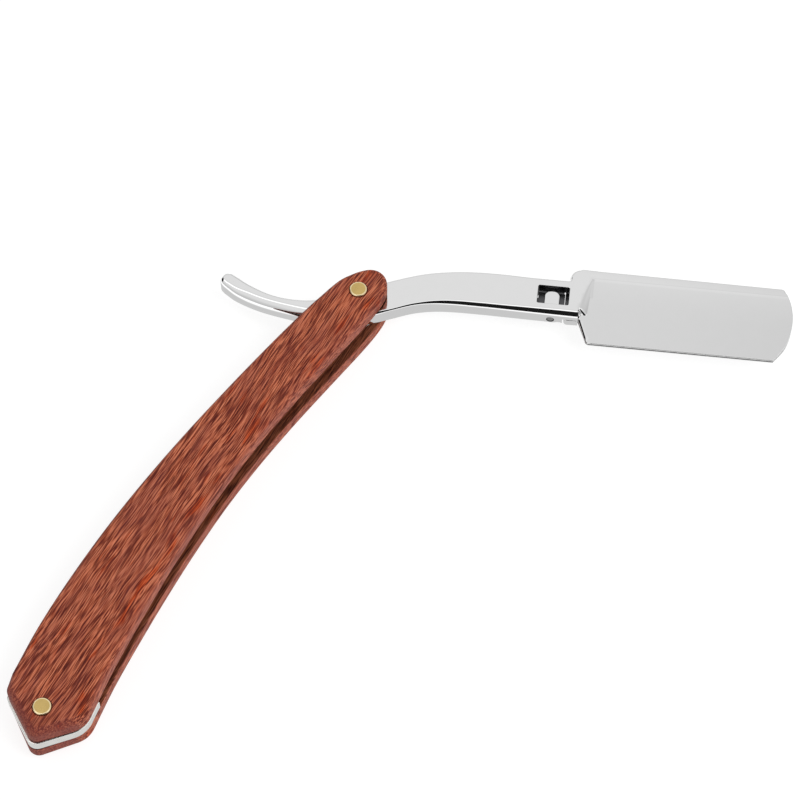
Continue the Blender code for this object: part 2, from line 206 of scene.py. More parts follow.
def edgeRings(bm, loop, radius, height, way, steps, support=0.12):
    rings = []
    for k in range(-1, steps + 1):
        a = pi / 2 * max(k, 0) / steps
        spots = insetLoop(loop, radius * (1 - sin(a)) + (support if k < 0 else 0))
        levels = height(spots) - way * abs(radius) * (1 - cos(a))
        rings.append([bm.verts.new((*p, z)) for p, z in zip(spots, levels)])
    return rings


def joinRings(bm, rings, inward=False, index=0):
    for low, high in zip(rings, rings[1:]):
        for i in range(len(low)):
            j = (i + 1) % len(low)
            quad = (low[i], low[j], high[j], high[i])
            bm.faces.new(quad[::-1] if inward else quad).material_index = index


def level(value):
    return lambda spots: np.full(len(spots), float(value))


def plateMesh(loop, top, bottom, topRound, bottomRound, step, holes=(), topLines=(), bottomLines=(),
              steps=6, holeIndex=0, paintedDarkSide=None):
    # heights and roundings are numbers, or functions of the place
    top, bottom, topRound, bottomRound = (value if callable(value) else level(value)
                                          for value in (top, bottom, topRound, bottomRound))
    bm = bmesh.new()
    upper = edgeRings(bm, loop, topRound(loop), top, 1, steps)
    lower = edgeRings(bm, loop, bottomRound(loop), bottom, -1, steps)
    joinRings(bm, lower + upper[::-1])
    # painted dark reflection: the side wall faces picked out get the second, near-black finish
    if paintedDarkSide is not None:
        bm.faces.ensure_lookup_table()
        first = (len(lower) - 1) * len(loop)
        for i in np.nonzero(paintedDarkSide(loop))[0]:
            bm.faces[first + i].material_index = 1
    topRings, bottomRings = [upper[0]], [lower[0]]
    for hole, rim in holes:
        upper = edgeRings(bm, hole, np.full(len(hole), -rim), top, 1, 3, -0.08)
        lower = edgeRings(bm, hole, np.full(len(hole), -rim), bottom, -1, 3, -0.08)
        joinRings(bm, lower, True)
        joinRings(bm, [lower[-1], upper[-1]], True, holeIndex)
        joinRings(bm, upper[::-1], True)
        topRings.append(upper[0])
        bottomRings.append(lower[0])
    capFaces(bm, topRings, top, True, step, topLines)
    capFaces(bm, bottomRings, bottom, False, step, bottomLines)
    return bm


def stackMesh(rings):
    bm = bmesh.new()
    layers = [[bm.verts.new(p) for p in ring] for ring in rings]
    joinRings(bm, layers)
    bm.faces.new(layers[0][::-1])
    bm.faces.new(layers[-1])
    return bm


def boxMesh(x0, x1, y0, y1, z0, z1):
    corners = [(x0, y0), (x1, y0), (x1, y1), (x0, y1)]
    return stackMesh([[(x, y, z) for x, y in corners] for z in (z0, z1)])


def prismMesh(loop, z0, z1):
    return stackMesh([[(x, y, z) for x, y in loop] for z in (z0, z1)])


def rodAcross(x, z, radius, y0=-3.0, y1=16.0):
    # a rod along y, long enough to pass right through the shank
    loop = circleLoop(0, 0, radius, 48)
    return stackMesh([[(x + b, y, z + a) for a, b in loop] for y in (y0, y1)])


# From mesh to finished piece
hardEdge = 32       # degrees between faces from which an edge is shaded hard


def addObject(name, data):
    made = bpy.data.objects.new(name, data)
    bpy.context.scene.collection.objects.link(made)
    return made


def toMesh(name, bm, index=None, finishes=()):
    if index is not None:
        for face in bm.faces:
            face.material_index = index
    bmesh.ops.recalc_face_normals(bm, faces=bm.faces[:])
    mesh = bpy.data.meshes.new(name)
    bm.to_mesh(mesh)
    bm.free()
    for finish in finishes:
        mesh.materials.append(finish)
    return mesh


def carve(mesh, cutters, operation="DIFFERENCE"):
    shown = addObject("blank", mesh)
    helpers = []
    for cutter in cutters:
        helper = addObject("cutter", cutter)
        boolean = shown.modifiers.new("cut", "BOOLEAN")
        boolean.operation = operation
        boolean.solver = "EXACT"
        boolean.object = helper
        helpers.append(helper)
    ready = shown.evaluated_get(bpy.context.evaluated_depsgraph_get())
    made = bpy.data.meshes.new_from_object(ready)
    for helper in helpers + [shown]:
        bpy.data.objects.remove(helper)
    return made


def finishPiece(name, mesh, place, body, nodes):
    mesh.transform(place)
    mesh.shade_smooth()
    mesh.set_sharp_from_angle(angle=radians(hardEdge))
    piece = addObject(name, mesh)
    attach(piece, body)
    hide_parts(*nodes)
    print(name, len(mesh.polygons), "faces")


# Shader helpers
def newMaterial(name):
    made = bpy.data.materials.new(name)
    made.use_nodes = True
    return made, made.node_tree, made.node_tree.nodes["Principled BSDF"]


def addNode(tree, kind, values=None, **settings):
    made = tree.nodes.new(kind)
    for key, value in settings.items():
        setattr(made, key, value)
    for key, value in (values or {}).items():
        if isinstance(value, bpy.types.NodeSocket):
            tree.links.new(value, made.inputs[key])
        else:
            made.inputs[key].default_value = value
    return made


def calc(tree, operation, a, b, clamp=False):
    made = addNode(tree, "ShaderNodeMath", {0: a, 1: b}, operation=operation, use_clamp=clamp)
    return made.outputs[0]


def vectorCalc(tree, operation, a, b):
    return addNode(tree, "ShaderNodeVectorMath", {0: a, 1: b}, operation=operation).outputs[0]


def between(tree, value, low, high):
    made = addNode(tree, "ShaderNodeMapRange", {"Value": value, "From Min": low, "From Max": high},
                   interpolation_type="SMOOTHSTEP")
    return made.outputs["Result"]


def mixColour(tree, factor, a, b, blend="MIX"):
    a, b = ((*shade, 1.0) if isinstance(shade, tuple) else shade for shade in (a, b))
    made = addNode(tree, "ShaderNodeMix", {0: factor, 6: a, 7: b}, data_type="RGBA", blend_type=blend)
    return made.outputs[2]


def tinted(tree, colour, mask, amount, shade):
    return mixColour(tree, calc(tree, "MULTIPLY", mask, amount), colour, shade)


def noise(tree, vector, scale, offset, detail, roughness):
    # scale is in turns per millimetre along, across and through the piece
    placed = addNode(tree, "ShaderNodeMapping", {"Vector": vector, "Scale": scale, "Location": offset})
    return addNode(tree, "ShaderNodeTexNoise", {"Vector": placed.outputs["Vector"], "Scale": 1.0,
                                                "Detail": detail, "Roughness": roughness})


def marked(tree, name):
    return addNode(tree, "ShaderNodeAttribute", attribute_name=name).outputs["Fac"]


def joinSurface(tree, shader, colour, rough, height, depth, distance):
    bump = addNode(tree, "ShaderNodeBump", {"Height": height, "Strength": depth, "Distance": distance})
    tree.links.new(colour, shader.inputs["Base Color"])
    tree.links.new(rough, shader.inputs["Roughness"])
    tree.links.new(bump.outputs["Normal"], shader.inputs["Normal"])


def byRay(tree, ray, usual, special):
    path = addNode(tree, "ShaderNodeLightPath")
    made = addNode(tree, "ShaderNodeMixShader", {0: path.outputs[ray], 1: usual, 2: special})
    return made.outputs[0]


def newGroup(name, kind, inputs, outputs):
    group = bpy.data.node_groups.new(name, kind)
    for label, socketKind, value in inputs:
        socket = group.interface.new_socket(label, in_out="INPUT", socket_type=socketKind)
        if value is not None:
            socket.default_value = value
    for label, socketKind in outputs:
        group.interface.new_socket(label, in_out="OUTPUT", socket_type=socketKind)
    return group, group.nodes.new("NodeGroupInput"), group.nodes.new("NodeGroupOutput")


def alongFrame(tree, place):
    # object coordinates turned into millimetres along the piece's own frame
    spot = addNode(tree, "ShaderNodeTexCoord").outputs["Object"]
    turn = place.to_euler().z
    at = place.translation
    made = addNode(tree, "ShaderNodeMapping", {"Vector": spot, "Location": at, "Rotation": (0, 0, turn),
                                               "Scale": (0.001, 0.001, 0.001)}, vector_type="TEXTURE")
    return made.outputs["Vector"]


# Rosewood
woodLook = {
    "ramp": [(0.0, (0.095, 0.014, 0.010)), (0.28, (0.200, 0.036, 0.018)), (0.55, (0.370, 0.084, 0.038)),
             (0.80, (0.520, 0.140, 0.068)), (1.0, (0.640, 0.200, 0.105))],
    "purple": (0.190, 0.045, 0.040), "patchPurple": 0.30, "endPurple": 0.62,
    "red": (1.0, 0.48, 0.20), "redAmount": 0.85,
    # painted light: the rounded belly rim is made lighter and pinker, where the side meets the light
    "edge": (0.400, 0.120, 0.082), "edgeAmount": 0.35,
    # painted shade: the back rim, turned away from the light, is made darker
    "backRimShade": (0.120, 0.030, 0.022), "backRimShadeAmount": 0.75,
    "poreDark": 0.75, "poreRough": 0.25,
    # inner faces: their own darker, unfinished wood, mixed with painted shade; the next colour is a
    # near-black painted shadow deep in the slot
    "inner": (0.100, 0.036, 0.014),
    "underShadow": (0.012, 0.006, 0.003),
    "grainTurn": 2.5,       # degrees, grain against the handle's chord
    "sway": (0.0, 2.2, 1.2),        # how far the grain wanders, in millimetres
    "broad": 0.45, "fine": 1.7, "hair": 3.6, "middle": 0.60,
    "poreDepth": 0.45, "bumpHeight": 0.00008,
    "roughness": 0.46,
    "specular": 0.12,
}


def filledGroup(group, put, made):
    for label, socket in made.items():
        group.links.new(socket, put.inputs[label])
    return group


def grainGroup():
    look = woodLook
    group, given, put = newGroup(
        "rosewoodGrain", "ShaderNodeTree",
        [("Vector", "NodeSocketVector", None), ("Shift", "NodeSocketVector", None),
         ("Belly", "NodeSocketFloat", 0.0)],
        [("Streak", "NodeSocketFloat"), ("Pore", "NodeSocketFloat"), ("Patch", "NodeSocketFloat"),
         ("Glow", "NodeSocketFloat"), ("Height", "NodeSocketFloat")])
    moved = vectorCalc(group, "ADD", given.outputs["Vector"], given.outputs["Shift"])
    swayed = noise(group, moved, (0.045, 0.14, 0.14), (0, 0, 0), 1.0, 0.5).outputs["Color"]
    sway = vectorCalc(group, "SUBTRACT", swayed, (0.5, 0.5, 0.5))
    grain = vectorCalc(group, "ADD", moved, vectorCalc(group, "MULTIPLY", sway, look["sway"]))

    def grainNoise(scale, offset, detail, roughness):
        return noise(group, grain, scale, offset, detail, roughness).outputs["Fac"]

    broad = grainNoise((0.06, 0.45, 0.45), (0, 0, 0), 2.0, 0.5)
    fine = grainNoise((0.15, 3.3, 3.3), (7, 3, 1), 1.0, 0.6)
    pores = grainNoise((0.15, 3.2, 3.2), (2, 9, 4), 0.0, 0.5)
    hair = grainNoise((0.19, 5.4, 5.4), (5, 1, 8), 1.0, 0.6)
    patch = grainNoise((0.07, 0.30, 0.30), (3, 3, 3), 2.0, 0.5)
    glow = grainNoise((0.10, 0.60, 0.60), (11, 5, 2), 2.0, 0.5)
    streak = look["middle"]
    for value, amount in ((broad, look["broad"]), (fine, look["fine"]), (hair, look["hair"])):
        swing = calc(group, "MULTIPLY", calc(group, "SUBTRACT", value, 0.5), amount)
        streak = calc(group, "ADD", swing, streak)
    pore = between(group, pores, 0.58, 0.66)
    glow = calc(group, "ADD", glow, calc(group, "MULTIPLY", given.outputs["Belly"], 0.20))
    made = {
        "Streak": calc(group, "ADD", streak, 0.0, clamp=True),
        "Pore": pore,
        "Patch": between(group, patch, 0.40, 0.62),
        "Glow": between(group, glow, 0.60, 0.76),
        "Height": calc(group, "SUBTRACT", calc(group, "MULTIPLY", streak, 0.5), pore),
    }
    return filledGroup(group, put, made)


rosewood = grainGroup()


def woodMaterial(name, shift):
    made, tree, shader = newMaterial(name)
    look = woodLook
    turned = handleFrame @ Matrix.Rotation(radians(look["grainTurn"]), 4, "Z")
    spot = alongFrame(tree, turned)
    grain = addNode(tree, "ShaderNodeGroup", {"Vector": spot, "Shift": shift,
                                              "Belly": marked(tree, "bellyBand")}, node_tree=rosewood)
    streak, pore = grain.outputs["Streak"], grain.outputs["Pore"]
    ramp = addNode(tree, "ShaderNodeValToRGB", {"Fac": streak})
    stops = ramp.color_ramp.elements
    while len(stops) < len(look["ramp"]):
        stops.new(0.5)
    for stop, (position, shade) in zip(stops, look["ramp"]):
        stop.position = position
        stop.color = (*shade, 1.0)
    colour = ramp.outputs["Color"]
    colour = tinted(tree, colour, grain.outputs["Patch"], look["patchPurple"], look["purple"])
    warm = mixColour(tree, 1.0, colour, look["red"], "MULTIPLY")
    colour = tinted(tree, colour, grain.outputs["Glow"], look["redAmount"], warm)
    # painted light on the belly rim
    colour = tinted(tree, colour, marked(tree, "rim"), look["edgeAmount"], look["edge"])
    # painted shade on the back rim
    colour = tinted(tree, colour, marked(tree, "shadedBackRim"), look["backRimShadeAmount"], look["backRimShade"])
    colour = tinted(tree, colour, pore, look["poreDark"], look["ramp"][0][1])
    colour = tinted(tree, colour, marked(tree, "endGrain"), look["endPurple"], look["purple"])
    # inner faces: darker unfinished wood plus painted shade, fading to a near-black painted shadow deeper in
    # the slot under the other scale
    inner = marked(tree, "inner")
    liningWithShade = mixColour(tree, 0.30, mixColour(tree, streak, look["underShadow"], look["inner"]), colour)
    liningWithShade = mixColour(tree, between(tree, inner, 0.35, 1.1), liningWithShade, look["underShadow"])
    colour = mixColour(tree, between(tree, inner, 0.05, 0.15), colour, liningWithShade)
    rough = calc(tree, "ADD", calc(tree, "MULTIPLY", pore, look["poreRough"]), look["roughness"])
    shader.inputs["Specular IOR Level"].default_value = look["specular"]
    joinSurface(tree, shader, colour, rough, grain.outputs["Height"], look["poreDepth"],
                look["bumpHeight"])
    return made


frontWood = woodMaterial("frontWood", (0.0, 0.0, 0.0))
backWood = woodMaterial("backWood", (37.0, 14.0, 9.0))


# Metals
metalLook = {
    "chrome": (0.860, 0.860, 0.860), "chromeRough": 0.03,
    "brass": (0.700, 0.500, 0.185), "brassRough": 0.22,
    "steel": (0.980, 0.970, 0.930), "steelRough": 0.20,
    # painted shade: a near-black steel for hollows, pockets and seats in shade, also used as a painted dark
    # reflection on the holder's heel side
    "shadeFill": (0.110, 0.110, 0.115), "shadeFillRough": 0.30,
    # painted highlight: the brass is made lighter towards the rim of each head
    "brassRimHighlight": (1.000, 0.840, 0.520), "rimFrom": 1.72, "rimTo": 1.92,
    "spring": (0.300, 0.300, 0.300), "springRough": 0.20, "scratchHeight": 0.00001,
}


def scratchGroup():
    group, given, put = newGroup(
        "fineScratches", "ShaderNodeTree",
        [("Vector", "NodeSocketVector", None), ("Roughness", "NodeSocketFloat", 0.2),
         ("Spread", "NodeSocketFloat", 0.1)],
        [("Lines", "NodeSocketFloat"), ("Roughness", "NodeSocketFloat"), ("Cloud", "NodeSocketFloat")])
    spot, spread = given.outputs["Vector"], given.outputs["Spread"]
    lines = noise(group, spot, (0.25, 14.0, 14.0), (0, 0, 0), 3.0, 0.6).outputs["Fac"]
    cloud = noise(group, spot, (0.35, 0.35, 0.35), (4, 4, 4), 3.0, 0.55).outputs["Fac"]
    uneven = calc(group, "SUBTRACT", calc(group, "ADD", cloud, lines), 1.0)
    uneven = calc(group, "MULTIPLY", uneven, spread)
    made = {"Lines": lines, "Cloud": cloud,
            "Roughness": calc(group, "ADD", given.outputs["Roughness"], uneven, clamp=True)}
    return filledGroup(group, put, made)


scratches = scratchGroup()


def metalMaterial(name, place, finish, spread, depth, vary, paintedRimHighlight=False):
    made, tree, shader = newMaterial(name)
    look = metalLook
    worn = addNode(tree, "ShaderNodeGroup", {"Vector": alongFrame(tree, place), "Spread": spread,
                                             "Roughness": look[finish + "Rough"]}, node_tree=scratches)
    shade = tuple(c * (1 - vary) for c in look[finish])
    tone = mixColour(tree, between(tree, worn.outputs["Cloud"], 0.35, 0.65), shade, look[finish])
    # painted highlight: the brass lightens towards each head's rim
    if paintedRimHighlight:       # painted highlight towards the rim
        rim = between(tree, marked(tree, "turnRadius"), look["rimFrom"], look["rimTo"])
        tone = mixColour(tree, rim, tone, look["brassRimHighlight"])
    shader.inputs["Metallic"].default_value = 1.0
    joinSurface(tree, shader, tone, worn.outputs["Roughness"], worn.outputs["Lines"], depth,
                look["scratchHeight"])
    return made


rivetTurn = Matrix.Rotation(0.7, 4, "Z")        # the brass is brushed aslant
chrome = metalMaterial("mirrorChrome", armFrame, "chrome", 0.015, 0.01, 0.006)
# painted shade and painted dark reflection, given to surfaces in shade and to the heel side
shadeFill = metalMaterial("paintedShadeSteel", armFrame, "shadeFill", 0.2, 0.2, 0.04)
# the rivet heads get a painted highlight round the rim
brass = metalMaterial("rivetBrass", handleFrame @ rivetTurn, "brass", 0.12, 0.25, 0.10, True)
steel = metalMaterial("spacerSteel", handleFrame, "steel", 0.10, 0.15, 0.06)
armSteel = metalMaterial("smallSteel", armFrame, "steel", 0.12, 0.15, 0.08)
springSteel = metalMaterial("springSteel", armFrame, "spring", 0.12, 0.15, 0.08)
print("materials made")


# Handle scales
scaleSize = {
    "thick": 4.6, "outerRound": 1.3, "tailRound": 1.9, "roundChange": (131.0, 134.0), "innerRound": 0.4,
    "gapAtPivot": 2.9, "gapAtTail": 1.5, "bowLength": 125.0, "bowPower": 1.8,
    "seatRadius": 2.38, "seatDepth": 0.75, "rivetHole": 1.35, "tailRivet": 134.1,
    "bellyEdge": [(128, 9.3), (117, 7.2), (104, 5.45), (90, 3.9), (76, 2.75), (62, 2.15),
                  (48, 2.35), (34, 3.2), (20, 4.5), (9, 5.6), (2.5, 6.05)],
    "pivotEnd": [(-2.2, 5.95), (-5, 5.3), (-7, 3.65), (-7.8, 1.4), (-7.3, -0.75), (-5.8, -2.5),
                 (-3.6, -4.1)],
    "backEdge": [(0, -5.9), (6, -7.2), (13, -8.45), (25, -10.1), (40, -11.8), (56, -13.3),
                 (72, -14.3), (88, -14.65), (104, -14.15), (118, -13.0), (130.5, -11.05)],
    "tailCorners": [(134.7, -9.9, 2.0), (141.5, 1.9, 2.5), (131.7, 10.15, 6.5)],
    "backTailCorners": [(134.7, -9.9, 2.0), (142.2, 1.9, 2.6), (131.45, 9.95, 7.0)],
    "spacerCorners": [(135.0, -10.05, 2.0), (142.0, 1.85, 2.5), (131.75, 10.15, 6.5)],
}


def halfGap(spots):
    size = scaleSize
    along = np.clip(spots[:, 0] / size["bowLength"], 0, 1)
    return size["gapAtTail"] + (size["gapAtPivot"] - size["gapAtTail"]) * (1 - along ** size["bowPower"])


def scaleLoop(corners):
    size = scaleSize
    return closedLoop(smoothThrough(size["bellyEdge"] + size["pivotEnd"] + size["backEdge"], 8) + corners)


def turnedMesh(profile, x=0.0, y=0.0):
    return stackMesh([[(px, py, z) for px, py in circleLoop(x, y, radius)] for radius, z in profile])


def scaleFields(mesh, side, loop):
    # masks for the wood: how far each point lies from the scale's faces and edges, in millimetres
    size = scaleSize
    spots = np.zeros(len(mesh.vertices) * 3)
    mesh.vertices.foreach_get("co", spots)
    spots = spots.reshape(-1, 3)
    flat = spots[:, :2]
    fromMiddle = side * spots[:, 2] - halfGap(flat)     # 0 on the inner face, thick on the outer one
    belly = distanceTo(flat, np.array(smoothThrough(size["bellyEdge"], 4)), False)
    back = distanceTo(flat, np.array(smoothThrough(size["pivotEnd"][3:] + size["backEdge"], 4)), False)
    outside = fromMiddle > 0.05
    nearEdge = np.clip(2 - distanceTo(flat, loop) / 1.1, 0, 1)
    fields = {
        # inner faces: their own darker wood, with painted shade
        "inner": (fromMiddle < 0.12) * np.clip(belly / 7.0, 0.2, 1),      # painted shade: deeper in the slot is darker
        "bellyBand": np.clip(1 - abs(belly - 2.2) / 2.0, 0, 1) * outside,
        # painted light: how strongly the belly rim is lightened
        "rim": np.clip(1 - belly / size["outerRound"], 0, 1) * outside,
        # painted shade: how strongly the back rim is darkened
        "shadedBackRim": np.clip(1 - back / 0.8, 0, 1) * outside,
        "endGrain": np.clip((flat[:, 0] - 131.0) / 3.0, 0, 1) * nearEdge * outside,
    }
    for label, values in fields.items():
        field = mesh.attributes.new(label, "FLOAT", "POINT")
        field.data.foreach_set("value", values.astype(np.float32))


def scalePiece(name, node, side, wood):
    size = scaleSize
    loop = scaleLoop(size["tailCorners" if side > 0 else "backTailCorners"])
    thick = size["thick"]

    def outer(spots):
        return side * (halfGap(spots) + thick)

    def inner(spots):
        return side * halfGap(spots)

    def outerRound(spots):
        return np.interp(spots[:, 0], size["roundChange"], (size["outerRound"], size["tailRound"]))

    faces, rounds = (outer, inner), (outerRound, size["innerRound"])
    top, bottom = faces[::side]
    topRound, bottomRound = rounds[::side]
    bm = plateMesh(loop, top, bottom, topRound, bottomRound, 1.6, steps=8)
    mesh = toMesh(name, bm, finishes=[wood])
    cutters = []
    for u in (0.0, size["tailRivet"]):
        face = float(halfGap(np.array([[u, 0]]))[0]) + thick
        floor = face - size["seatDepth"]
        seat, hole = size["seatRadius"], size["rivetHole"]
        profile = [(hole, 0.0), (hole, side * floor), (seat, side * floor), (seat, side * (face + 2))]
        cutters.append(toMesh("seat", turnedMesh(profile if side > 0 else profile[::-1], u)))
    mesh = carve(mesh, cutters)
    scaleFields(mesh, side, loop)
    finishPiece(name, mesh, handleFrame, "handle", [node])


scalePiece("frontScale", "front_scale", 1, frontWood)
scalePiece("backScale", "back_scale", -1, backWood)


# Tail spacer and washers
spacerSize = {"start": 124.6, "half": 1.4, "edgeRound": 0.2}


def spacerPiece():
    size = spacerSize
    loop = scaleLoop(scaleSize["spacerCorners"])
    beyond = loop[:, 0] > size["start"]
    first = int(np.argmax(beyond & ~np.roll(beyond, 1)))
    loop = np.roll(loop, -first, 0)
    kept = loop[loop[:, 0] > size["start"]]
    ends = [(size["start"], kept[-1][1] - 0.05), (size["start"], kept[0][1] - 0.05)]
    loop = splitLong(np.vstack([kept, ends]), 1.0)
    hole = circleLoop(scaleSize["tailRivet"], 0, scaleSize["rivetHole"])
    bm = plateMesh(loop, size["half"], -size["half"], size["edgeRound"], size["edgeRound"], 2.0,
                   [(hole, 0.1)], steps=4)
    mesh = toMesh("tailSpacer", bm, finishes=[steel])
    finishPiece("tailSpacer", mesh, handleFrame, "handle", ["tail_spacer"])


spacerPiece()

washerSize = {"radius": 4.6, "hole": 1.35, "near": 2.45, "thick": 0.35, "edgeRound": 0.1}


def washerPiece(name, node, side):
    size = washerSize
    low, high = sorted((side * size["near"], side * (size["near"] + size["thick"])))
    bm = plateMesh(circleLoop(0, 0, size["radius"], 96), high, low, size["edgeRound"], size["edgeRound"],
                   1.6, [(circleLoop(0, 0, size["hole"]), 0.05)], steps=3)
    mesh = toMesh(name, bm, finishes=[steel])
    finishPiece(name, mesh, handleFrame, "handle", [node])


washerPiece("frontWasher", "front_washer", 1)
washerPiece("backWasher", "back_washer", -1)


# Turned fittings: one profile turned round its axis and set out in a row
def turnedRowTree():
    tree, given, put = newGroup(
        "turnedRow", "GeometryNodeTree",
        [("Profile", "NodeSocketGeometry", None), ("Count", "NodeSocketInt", 1),
         ("Segments", "NodeSocketInt", 64), ("First Place", "NodeSocketVector", None),
         ("Spacing", "NodeSocketVector", None), ("Turn", "NodeSocketRotation", None),
         ("Finish", "NodeSocketMaterial", None)],
        [("Fittings", "NodeSocketGeometry")])
    curve = addNode(tree, "GeometryNodeMeshToCurve", {"Mesh": given.outputs["Profile"]})
    radius = addNode(tree, "GeometryNodeInputNamedAttribute", {"Name": "turnRadius"}, data_type="FLOAT")
    sized = addNode(tree, "GeometryNodeSetCurveRadius", {"Curve": curve.outputs["Curve"],
                                                         "Radius": radius.outputs["Attribute"]})
    ring = addNode(tree, "GeometryNodeCurvePrimitiveCircle", {"Resolution": given.outputs["Segments"],
                                                              "Radius": 1.0})
    turned = addNode(tree, "GeometryNodeCurveToMesh", {"Curve": sized.outputs["Curve"],
                                                       "Profile Curve": ring.outputs["Curve"],
                                                       "Fill Caps": True})
    if "Scale" in turned.inputs:
        tree.links.new(radius.outputs["Attribute"], turned.inputs["Scale"])
    line = addNode(tree, "GeometryNodeMeshLine", {"Count": given.outputs["Count"],
                                                  "Start Location": given.outputs["First Place"],
                                                  "Offset": given.outputs["Spacing"]}, mode="OFFSET")
    row = addNode(tree, "GeometryNodeInstanceOnPoints", {"Points": line.outputs["Mesh"],
                                                         "Instance": turned.outputs["Mesh"],
                                                         "Rotation": given.outputs["Turn"]})
    solid = addNode(tree, "GeometryNodeRealizeInstances", {"Geometry": row.outputs["Instances"]})
    finish = addNode(tree, "GeometryNodeSetMaterial", {"Geometry": solid.outputs["Geometry"],
                                                       "Material": given.outputs["Finish"]})
    tree.links.new(finish.outputs["Geometry"], put.inputs["Fittings"])
    return tree


rowTree = turnedRowTree()


def turnedRow(name, profile, place, body, nodes, finish, count=1, first=(0, 0, 0),
              spacing=(0, 0, 0), turn=(0, 0, 0), cutters=()):
    mesh = bpy.data.meshes.new(name)
    heights = [z + 0.0005 * i for i, (_, z) in enumerate(profile)]      # no two points level
    mesh.from_pydata([(0, 0, z) for z in heights], [(i, i + 1) for i in range(len(profile) - 1)], [])
    field = mesh.attributes.new("turnRadius", "FLOAT", "POINT")
    field.data.foreach_set("value", [r for r, _ in profile])
    source = addObject(name + "Profile", mesh)
    modifier = source.modifiers.new("turnedRow", "NODES")
    modifier.node_group = rowTree
    wanted = {"Count": count, "Segments": 64, "First Place": first, "Spacing": spacing, "Turn": turn,
              "Finish": finish}
    for item in rowTree.interface.items_tree:
        if item.in_out == "INPUT" and item.name in wanted:
            modifier[item.identifier] = wanted[item.name]
    ready = source.evaluated_get(bpy.context.evaluated_depsgraph_get())
    made = bpy.data.meshes.new_from_object(ready)
    bpy.data.objects.remove(source)
    bm = bmesh.new()
    bm.from_mesh(made)
    bmesh.ops.remove_doubles(bm, verts=bm.verts[:], dist=1e-5)
    bmesh.ops.recalc_face_normals(bm, faces=bm.faces[:])
    bm.to_mesh(made)
    bm.free()
    if cutters:
        made = carve(made, cutters)
    finishPiece(name, made, place, body, nodes)


rivetSize = {
    "radius": 2.2, "proud": 0.45, "sunk": 0.6, "rim": 0.3, "crown": 0.06, "tube": 1.25, "length": 5.0,
}


def rivetHead(size):
    radius, proud, rim, crown = size["radius"], size["proud"], size["rim"], size["crown"]
    profile = [(radius - 0.1, -size["sunk"]), (radius, -size["sunk"] + 0.1)]
    profile += [(radius, proud - rim - crown)]
    profile += [(radius - rim * (1 - cos(a)), proud - rim - crown + rim * sin(a))
                for a in np.linspace(0.15, pi / 2 - 0.2, 7)]
    flatRadius = radius - rim
    profile += [(flatRadius * t, proud - crown * t * t) for t in (0.97, 0.85, 0.7, 0.5, 0.3, 0.12, 0.02)]
    return profile


def rivets():
    size = rivetSize
    ends = np.array([[0.0, 0.0], [scaleSize["tailRivet"], 0.0]])
    pivotFace, tailFace = (float(v) + scaleSize["thick"] for v in halfGap(ends))
    step = (scaleSize["tailRivet"], 0, tailFace - pivotFace)
    stem = [(size["tube"], -size["length"]), (size["tube"], -size["sunk"] - 0.01)]
    turnedRow("frontRivets", stem + rivetHead(size), handleFrame, "handle",
              ["pivot_rivet_front", "tail_rivet_front"], brass, 2, (0, 0, pivotFace), step)
    step = (scaleSize["tailRivet"], 0, pivotFace - tailFace)
    turnedRow("backRivets", stem + rivetHead(size), handleFrame, "handle",
              ["pivot_rivet_back", "tail_rivet_back"], brass, 2, (0, 0, -pivotFace), step, (pi, 0, 0))


rivets()


# Arm: tail, tang, shank and front plate of the holder
armSize = {
    "half": 2.35, "edgeRound": 0.9, "backRound": 0.8,
    "plateRound": 0.13, "heelRound": 0.1, "spineRound": 0.45,
    "lowRounds": [(-34, 1.3), (-28, 2.1), (-6, 2.1), (2, 1.1), (8, 0.5), (15, 0.6), (22, 1.1),
                  (28, 1.25), (38, 1.35), (50, 1.6)],       # along the lower edge
    "plateGap": 0.15, "seat": -0.07, "clampCut": 51.0, "rootEnd": 54.9, "shoulder": (52.05, 12.45, 0.4),
    "lowEdge": [(-34.3, 1.25), (-30.7, -1.05), (-24.7, -3.25), (-18, -4.65), (-11, -5.55), (-4, -5.45),
                (2.5, -4.05), (8, -1.85), (13.5, 0.45), (18.5, 1.65), (24, 2.1), (32, 2.15)],
    "topEdge": [(42, 12.45), (34.5, 12.65), (27.4, 12.45), (21.4, 11.75), (15.5, 10.45), (9.7, 8.35),
                (4, 5.85), (-3, 2.55), (-8.5, 0.35), (-13.6, -0.6), (-18.4, -0.55), (-22.9, 0.35),
                (-27.5, 2.25), (-31, 4.25), (-32.8, 5.25)],
    "tailTip": [(-32.8, 5.25), (-34.4, 5.05), (-35.3, 3.55), (-35.2, 2.25), (-34.3, 1.25)],
}
